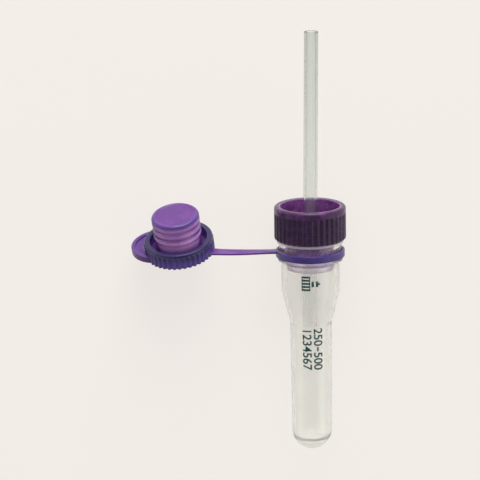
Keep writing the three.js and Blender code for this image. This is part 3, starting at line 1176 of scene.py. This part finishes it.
@dataclass(frozen=True)
class Stopper:
    """The stopper as it hangs: toothed skirt, thumb tab, and a cored plug with sealing ribs.

    The tones say how thin each wall looks, 0 for thick and 1 for thin, and the gains and losses are what
    is added to them or the share that is taken off. Much of this is painted light and shade: shade, with a
    thicker wall, at the plug's root, a band above it lighter than the ribs, a highlight on the disc's crest
    and shade on its outline, and light on the teeth by the crown and in the groove. The tab runs round
    between the two angles tab_arc, in degrees, and its plate reaches tab_depth in from its free edge.
    """

    spot: tuple[float, float, float] = (-24.13, 0.43108, 38.31)
    pitch: float = 17.5
    roll: float = -6.15
    yaw: float = -20.0
    teeth: int = 40
    columns_per_tooth: int = 8
    tooth_height: float = 0.4
    tip: float = 6.5
    skirt: float = 6.37
    skirt_bore: float = 5.32
    skirt_height: float = 2.95
    skirt_band: float = 0.65
    crown: float = 0.9
    plug: float = 4.31
    rib_proud: float = 0.14
    plug_height: float = 8.0
    end_round: float = 0.6
    end_wall: float = 0.8
    dish: float = 3.6
    dish_depth: float = 0.1
    core: float = 3.56
    rib_heights: tuple[float, ...] = (4.0, 5.38, 6.76)
    rib_half_width: float = 0.5
    tab_centre: float = 4.32
    tab_radius: float = 4.9
    tab_bottom: float = 0.1
    tab_thickness: float = 0.8
    tab_depth: float = 3.6
    tab_arc: tuple[float, float] = (82.0, 278.0)
    tab_stations: int = 220
    lip_height: float = 0.4
    lip_width: float = 0.65
    thick_shaded_root_tone: float = 0.4
    loss_above_lit_band: float = 0.2
    end_tone: float = 0.5
    crest_highlight_gain: float = 0.05
    outline_shade_loss: float = 0.85
    teeth_tone: float = 0.08
    teeth_light_gain: float = 0.22
    groove_light_tone: float = 0.45
    tab_tone: float = 0.44

    def turn(self) -> Array:
        """The stopper's attitude: roll about y, then pitch about x, then yaw about its own axis.

        Returns:
            A 3x3 matrix.
        """
        roll, pitch, yaw = (math.radians(a) for a in (self.roll, self.pitch, self.yaw))
        about = (
            Matrix.Rotation(roll, 3, "Y") @ Matrix.Rotation(pitch, 3, "X") @ Matrix.Rotation(yaw, 3, "Z")
        )
        return np.array(about, float)

    def body_profile(self) -> Array:
        """From the core's closed end down, out over the crown's face, up the skirt, the groove and the plug.

        Returns:
            (radius, height) rows, from axis to axis.
        """
        end, proud, half = self.plug_height, self.rib_proud, self.rib_half_width
        step = self.skirt_height - self.skirt_band
        corners = [
            (0.0, end - self.end_wall, 0.0),
            (self.core, end - self.end_wall, 0.5),
            (self.core, 0.0, 0.4),
            (self.tip, 0.0, 0.08),
            (self.tip, step - 0.04, 0.06),
            (self.skirt, step + 0.05, 0.06),
            (self.skirt, self.skirt_height, 0.28),
            (self.skirt_bore, self.skirt_height, 0.14),
            (self.skirt_bore, self.crown, 0.25),
            (self.plug, self.crown, 0.25),
        ]
        for centre in self.rib_heights:
            corners += [
                (self.plug, centre - half, 0.12),
                (self.plug + proud, centre - half * 0.3, 0.2),
                (self.plug + proud, centre + half * 0.3, 0.2),
                (self.plug, centre + half, 0.12),
            ]
        corners += [
            (self.plug + 0.02, end - self.end_round - 0.14, 0.05),
            (self.plug + proud, end - self.end_round, 0.1),
            (self.plug + proud, end, self.end_round),
            (self.dish + 0.2, end, 0.1),
            (self.dish, end - self.dish_depth, 0.15),
            (0.0, end - self.dish_depth, 0.0),
        ]
        return rounded(corners, closed=False, steps=6)

    def scallops(self, radius: Array, height: Array, angle: Array) -> Array:
        """What the teeth take off the radius: tooth height x (1 - |cos(half the teeth x angle)|).

        They are deepest at the crown, shallower towards the band, and end there.

        Args:
            radius: each point's distance from the axis.
            height: its height.
            angle: its angle round the axis.

        Returns:
            What to add to the radius, 0 or less.
        """
        step = self.skirt_height - self.skirt_band
        outside = ease(self.skirt_bore + 0.3, self.skirt - 0.2, radius)
        below = (1 - ease(step - 0.06, step + 0.06, height)) * (1 - 0.45 * ease(0.6, step, height))
        return -self.tooth_height * (1 - np.abs(np.cos(self.teeth * angle / 2))) * below * outside

    def walls(self, radius: Array, height: Array) -> Array:
        """How thin the wall is, with painted light and shade: most in the band above the plug's root, less at
        its end, least at the rim and its edges.

        Args:
            radius: each point's distance from the axis.
            height: its height.

        Returns:
            0 for thick, 1 for thin.
        """
        plug = 1 - ease(self.plug + 0.15, self.plug + 0.4, radius)
        # Painted shade, with a thicker wall: the plug darkens towards its root, to thick_shaded_root_tone.
        root = self.thick_shaded_root_tone + (1 - self.thick_shaded_root_tone) * ease(self.crown + 0.4, self.crown + 1.3, height)
        # Painted light: the band above the root is lighter than the ribs, which lose loss_above_lit_band.
        side = root * (1 - self.loss_above_lit_band * ease(self.crown + 2.3, self.crown + 3.8, height))
        face = ease(self.plug_height - 0.3, self.plug_height - 0.15, height)
        # Painted highlight: crest_highlight_gain on the disc's crest, just inside its outline.
        crest = ease(self.dish, self.dish + 0.15, radius) * (
            1 - ease(self.dish + 0.4, self.dish + 0.55, radius)
        )
        # Painted shade: the disc's outline loses outline_shade_loss.
        edge = ease(self.dish + 0.45, self.dish + 0.7, radius) * ease(
            self.plug_height - 0.5, self.plug_height - 0.3, height
        )
        end = self.end_tone + self.crest_highlight_gain * crest
        tone = (side + (end - side) * face) * (1 - self.outline_shade_loss * edge)
        # Painted light: the teeth by the crown gain teeth_light_gain.
        below = 1 - ease(0.5, 2.2, height)
        teeth = (self.teeth_tone + self.teeth_light_gain * below) * (1 - ease(2.4, 2.8, height))
        # Painted light: the groove inside the skirt is lifted to groove_light_tone.
        inside = 1 - ease(self.skirt_bore, self.skirt_bore + 0.2, radius)
        groove = self.groove_light_tone * (1 - ease(2.0, 2.8, height)) * inside
        return np.maximum(plug * tone, np.maximum(teeth, groove))

    def tab(self) -> Shell:
        """The thumb tab: a plate with a raised lip, carried round a circle set off towards -x.

        At the angle a about the tab's centre C, each section point lies at C + (R - d) (cos(a), sin(a)),
        where d runs in from the free edge and stops inside the skirt's wall, at the distance s(a) =
        c cos(a) + sqrt(r^2 - (c sin(a))^2) from C.

        Returns:
            The tab as a closed shell in the stopper's frame.
        """
        top, crest, soft = self.tab_bottom + self.tab_thickness, self.lip_height, 0.13
        corners = [
            (self.tab_depth, self.tab_bottom, 0.01),
            (0.0, self.tab_bottom, 0.15),
            (0.0, top + crest, soft),
            (self.lip_width, top + crest, soft),
            (self.lip_width + 0.16, top, soft),
            (self.tab_depth, top, 0.01),
        ]
        section = rounded(corners, closed=True, steps=5)
        angle = np.linspace(*(math.radians(a) for a in self.tab_arc), self.tab_stations)[:, None]
        inner = self.skirt_bore + 0.6
        limit = self.tab_radius - (
            self.tab_centre * np.cos(angle) + np.sqrt(inner**2 - (self.tab_centre * np.sin(angle)) ** 2)
        )
        depth = np.minimum(section[None, :, 0], np.maximum(limit, 0.02))
        reach = self.tab_radius - depth
        rise = np.broadcast_to(section[None, :, 1], reach.shape)
        grid = np.stack([reach * np.cos(angle) - self.tab_centre, reach * np.sin(angle), rise], axis=-1)
        return skinned(grid, loop=False, poles=(grid[0].mean(axis=0), grid[-1].mean(axis=0)))

    def build(self) -> bpy.types.Object:
        """Make the stopper on its body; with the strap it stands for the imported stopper.

        Returns:
            The stopper.
        """
        body = turned(self.body_profile(), self.teeth * self.columns_per_tooth, self.scallops)
        tab = self.tab().walled(lambda radius, _: np.full_like(radius, self.tab_tone))
        shell = body.walled(self.walls).joined(tab).moved(self.turn(), np.array(self.spot))
        made = piece("stopper_moulding", shell, Finish.TETHER.material())
        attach(made, "stopper")
        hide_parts("stopper")
        return made


@dataclass(frozen=True)
class Strap:
    """The thin strap from the ring to the stopper, twisting as it goes.

    It flares within flare_reach of its ends. Its wall looks thinner by middle_gain past the two distances
    tone_reach from an end.
    """

    ring: TetherRing = field(default_factory=TetherRing)
    stopper: Stopper = field(default_factory=Stopper)
    width: float = 1.8
    thickness: float = 0.55
    flare: float = 0.4
    flare_reach: float = 0.6
    sweep: float = 3.0
    level: float = 38.17
    inset: float = 0.4
    stations: int = 120
    fine_stations: int = 801
    section_points: int = 32
    end_tone: float = 0.42
    middle_gain: float = 0.14
    tone_reach: tuple[float, float] = (0.2, 2.5)
    rigid_stations: int = 12

    def ends(self) -> tuple[Array, Array, Array, Array]:
        """Where the strap starts, inside the ring, and ends, inside the stopper's skirt.

        Returns:
            The first and last point and the outward direction at each.
        """
        angle = math.radians(180 + self.sweep)
        root = np.array([math.cos(angle), math.sin(angle), 0.0])
        start = root * (self.ring.outer - 0.2) + np.array([0, 0, self.level])
        turn = self.stopper.turn()
        end = turn @ np.array([self.stopper.tip - 0.7, 0, self.inset]) + np.array(self.stopper.spot)
        return start, end, root, turn @ np.array([1.0, 0, 0])

    def line(self) -> tuple[Array, Array, Array]:
        """The strap's centre line and the directions of its section.

        The line is the cubic (1-t)^3 A + 3(1-t)^2 t B + 3(1-t) t^2 C + t^3 D, walked at an even pace. The
        side direction goes evenly from the ring's to the stopper's, kept square to the line.

        Returns:
            At every station the centre, and the side and thickness directions.
        """
        start, end, root, out = self.ends()
        reach = float(np.linalg.norm(end - start))
        knots = np.stack([start, start + root * reach / 3, end + out * reach / 3, end])
        t = np.linspace(0, 1, self.fine_stations)[:, None]
        weights = np.concatenate([(1 - t) ** 3, 3 * (1 - t) ** 2 * t, 3 * (1 - t) * t**2, t**3], axis=1)
        fine = weights @ knots
        walked = np.concatenate([[0], np.cumsum(np.linalg.norm(np.diff(fine, axis=0), axis=1))])
        share = np.linspace(0, 1, self.stations)
        centre = np.stack([np.interp(share * walked[-1], walked, fine[:, i]) for i in range(3)], axis=1)
        along = unit(np.gradient(centre, axis=0))
        side_start = np.cross([0, 0, 1.0], root)
        side_end = self.stopper.turn() @ np.array([0, -1.0, 0])
        side = side_start + (side_end - side_start) * share[:, None]
        side = unit(side - along * (side * along).sum(axis=1, keepdims=True))
        return centre, side, np.cross(along, side)

    def build(self) -> bpy.types.Object:
        """Make the strap from the ring to the stopper, fixed in place.

        Its section is a rounded oblong, (cos(a)^0.35, sin(a)^0.6) with their signs, that flares at both ends.

        Returns:
            The strap.
        """
        centre, side, thick = self.line()
        reach = float(np.linalg.norm(np.diff(centre, axis=0), axis=1).sum())
        share = np.linspace(0, 1, self.stations)
        near_end = np.minimum(share, 1 - share) * reach
        wide = self.width / 2 + self.flare * np.exp(-near_end / self.flare_reach)
        angle = np.linspace(0, 2 * np.pi, self.section_points, endpoint=False)
        across = np.sign(np.cos(angle)) * np.abs(np.cos(angle)) ** 0.35
        up = np.sign(np.sin(angle)) * np.abs(np.sin(angle)) ** 0.6
        grid = (
            centre[:, None, :]
            + side[:, None, :] * (wide[:, None] * across[None, :])[:, :, None]
            + thick[:, None, :] * (self.thickness / 2 * up)[None, :, None]
        )
        shell = skinned(grid, loop=False, poles=(centre[0], centre[-1]))
        bare = self.end_tone + self.middle_gain * ease(*self.tone_reach, near_end)
        shell.thin = np.concatenate([np.repeat(bare, self.section_points), [0.0, 0.0]])
        made = piece("tether_strap", shell, Finish.TETHER.material())
        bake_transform(made)
        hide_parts("tether_ring", "stopper")
        return made


# ---- the studio ----


@dataclass(frozen=True)
class Studio:
    """A pale bench under soft light that comes mostly from beyond the mouth, and the camera.

    aim_right and aim_up are how far the anchor, a point of the tube, lies from the middle of the view.
    The bench's sheet lies just under the object, so that the two don't share a plane, and its shade
    wavers a little, bench_waver times a metre.
    """

    pale: str = "#f8f3ed"
    lamp_white: str = "#fbfaf9"
    bench_share: float = 0.2
    bench_half: float = 2.5
    bench_gap: float = 0.00002
    bench_points: int = 65
    bench_waver: float = 9.0
    ceiling: float = 0.28
    wall: float = 0.95
    elevation: float = 14.5
    roll: float = 0.85
    view_width: float = 88.9
    distance: float = 700.0
    film: float = 36.0
    anchor: tuple[float, float, float] = (0.0, 0.0, 40.5)
    aim_right: float = 13.0
    aim_up: float = 0.31
    lit_spot: tuple[float, float, float] = (0.0, 0.0, 0.006)
    bounces: int = 24

    def bench(self) -> bpy.types.Object:
        """Make the floor: a flat sheet whose pale colour shows as it is and keeps the object's soft shadow.

        Returns:
            The floor, staged.
        """
        side = np.linspace(-self.bench_half, self.bench_half, self.bench_points)
        x, y = np.meshgrid(side, side, indexing="ij")
        points = np.stack([x, y, np.full_like(x, -self.bench_gap)], axis=-1).reshape(-1, 3)
        index = np.arange(x.size).reshape(x.shape)
        quads = np.stack([index[:-1, :-1], index[1:, :-1], index[1:, 1:], index[:-1, 1:]], axis=-1)
        mesh = bpy.data.meshes.new("bench")
        mesh.from_pydata(points.tolist(), [], quads.reshape(-1, 4).tolist())
        material, tree, output = new_material("bench_paper")
        place = node(tree, "TexCoord").outputs["Object"]
        waver = node(tree, "TexNoise", {"Vector": place, "Scale": self.bench_waver, "Detail": 5.0})
        shade = node(tree, "MapRange", {"Value": waver, "To Min": 0.985, "To Max": 1.01})
        colour = node(tree, "VectorMath", {0: linear(self.pale)[:3], "Scale": shade}, operation="SCALE")
        paper = node(tree, "BsdfDiffuse", {"Color": colour})
        glow = node(tree, "Emission", {"Color": colour, "Strength": 1.0})
        share = node(tree, "Math", {0: self.seen(tree), 1: 1 - self.bench_share}, operation="MULTIPLY")
        mixed = node(tree, "MixShader", {0: share, 1: paper, 2: glow})
        tree.links.new(mixed.outputs[0], output.inputs["Surface"])
        mesh.materials.append(material)
        made = bpy.data.objects.new("bench", mesh)
        bpy.context.scene.collection.objects.link(made)
        return made

    def seen(self, tree: bpy.types.NodeTree) -> bpy.types.Node:
        """1 for rays that show something: from the camera, a gloss or through a clear wall.

        Args:
            tree: the node tree to add the test to.

        Returns:
            The node that gives it.
        """
        path = node(tree, "LightPath").outputs
        first = node(tree, "Math", {0: path["Is Camera Ray"], 1: path["Is Glossy Ray"]}, operation="MAXIMUM")
        return node(tree, "Math", {0: first, 1: path["Is Transmission Ray"]}, operation="MAXIMUM")

    def sky(self) -> None:
        """The world: a pale backdrop round the horizon, a dim ceiling, and a light wall beyond the mouth.

        For a direction (x, y, z), the ceiling takes over from the backdrop as z goes from 0.25 to 0.6, and
        the wall's share grows as y goes from 0 to 0.9.
        """
        world = bpy.data.worlds.new("studio")
        bpy.context.scene.world = world
        world.use_nodes = True
        tree = world.node_tree
        tree.nodes.clear()
        way = node(tree, "SeparateXYZ", {0: node(tree, "TexCoord").outputs["Object"]}).outputs
        beyond = node(
            tree,
            "MapRange",
            {"Value": way["Y"], "From Max": 0.9, "To Min": self.ceiling, "To Max": self.wall},
            interpolation_type="SMOOTHSTEP",
        )
        high = node(
            tree,
            "MapRange",
            {"Value": way["Z"], "From Min": 0.25, "From Max": 0.6, "To Min": 1.0, "To Max": 0.0},
            interpolation_type="SMOOTHSTEP",
        )
        low = node(tree, "Math", {0: self.seen(tree), 1: high}, operation="MULTIPLY")
        soft = node(tree, "Background", {"Color": linear(self.lamp_white), "Strength": beyond})
        back = node(tree, "Background", {"Color": linear(self.pale), "Strength": 1.0})
        mixed = node(tree, "MixShader", {0: low, 1: soft, 2: back})
        tree.links.new(mixed.outputs[0], node(tree, "OutputWorld").inputs["Surface"])

    def lamp(self, name: str, spot: tuple[float, float, float], size: float, watts: float) -> None:
        """A square soft lamp turned to the object's middle.

        Args:
            name: the lamp's name.
            spot: its place in metres.
            size: its side in metres.
            watts: its power.
        """
        light = bpy.data.lights.new(name, "AREA")
        light.shape, light.size, light.energy = "SQUARE", size, watts
        made = bpy.data.objects.new(name, light)
        made.location = spot
        made.rotation_mode = "QUATERNION"
        made.rotation_quaternion = (Vector(self.lit_spot) - Vector(spot)).to_track_quat("-Z", "Y")
        bpy.context.scene.collection.objects.link(made)

    def camera(self) -> None:
        """A long lens that looks down on the lying tube, 14.5 degrees round from square to its axis."""
        axes = BENCH.axes()
        lift, tip = math.radians(self.elevation), math.radians(self.roll)
        towards = axes @ np.array([0, -math.cos(lift), math.sin(lift)])
        level = unit(axes[:, 2] - towards * float(axes[:, 2] @ towards))
        side = np.cross(level, towards)
        up = level * math.cos(tip) + side * math.sin(tip)
        right = side * math.cos(tip) - level * math.sin(tip)
        anchor = axes @ np.array(self.anchor) + BENCH.origin()
        aim = anchor - right * self.aim_right - up * self.aim_up
        spot = (aim + towards * self.distance) * MM
        data = bpy.data.cameras.new("camera")
        data.sensor_width = self.film
        data.lens = self.film * self.distance / self.view_width
        data.clip_start, data.clip_end = 0.01, 20.0
        made = bpy.data.objects.new("camera", data)
        stand = Matrix([[right[i], up[i], towards[i], spot[i]] for i in range(3)] + [[0, 0, 0, 1]])
        made.matrix_world = stand
        bpy.context.scene.collection.objects.link(made)
        bpy.context.scene.camera = made

    def build(self) -> None:
        """The bench, the world, the lamps and the camera."""
        self.bench()
        self.sky()
        self.lamp("key", (0.05, 0.62, 0.24), 0.45, 4.1)
        self.lamp("side", (0.5, -0.1, 0.3), 0.4, 0.3)
        self.camera()
        scene = bpy.context.scene
        scene.view_settings.view_transform = "Standard"
        scene.cycles.max_bounces = self.bounces
        scene.cycles.transmission_bounces = self.bounces
        scene.cycles.transparent_max_bounces = self.bounces


def main() -> None:
    """Build the studio and every piece in order, and report each piece."""
    logging.basicConfig(level=logging.INFO, format="%(name)s %(message)s")
    Studio().build()
    made = [Tube().build(), *ScalePrint().build(), Adapter().build(), Capillary().build()]
    made += [TetherRing().build(), Stopper().build(), Strap().build()]
    for each in made:
        LOG.info("%s: %d points, %d faces", each.name, len(each.data.vertices), len(each.data.polygons))


if __name__ == "__main__":
    main()
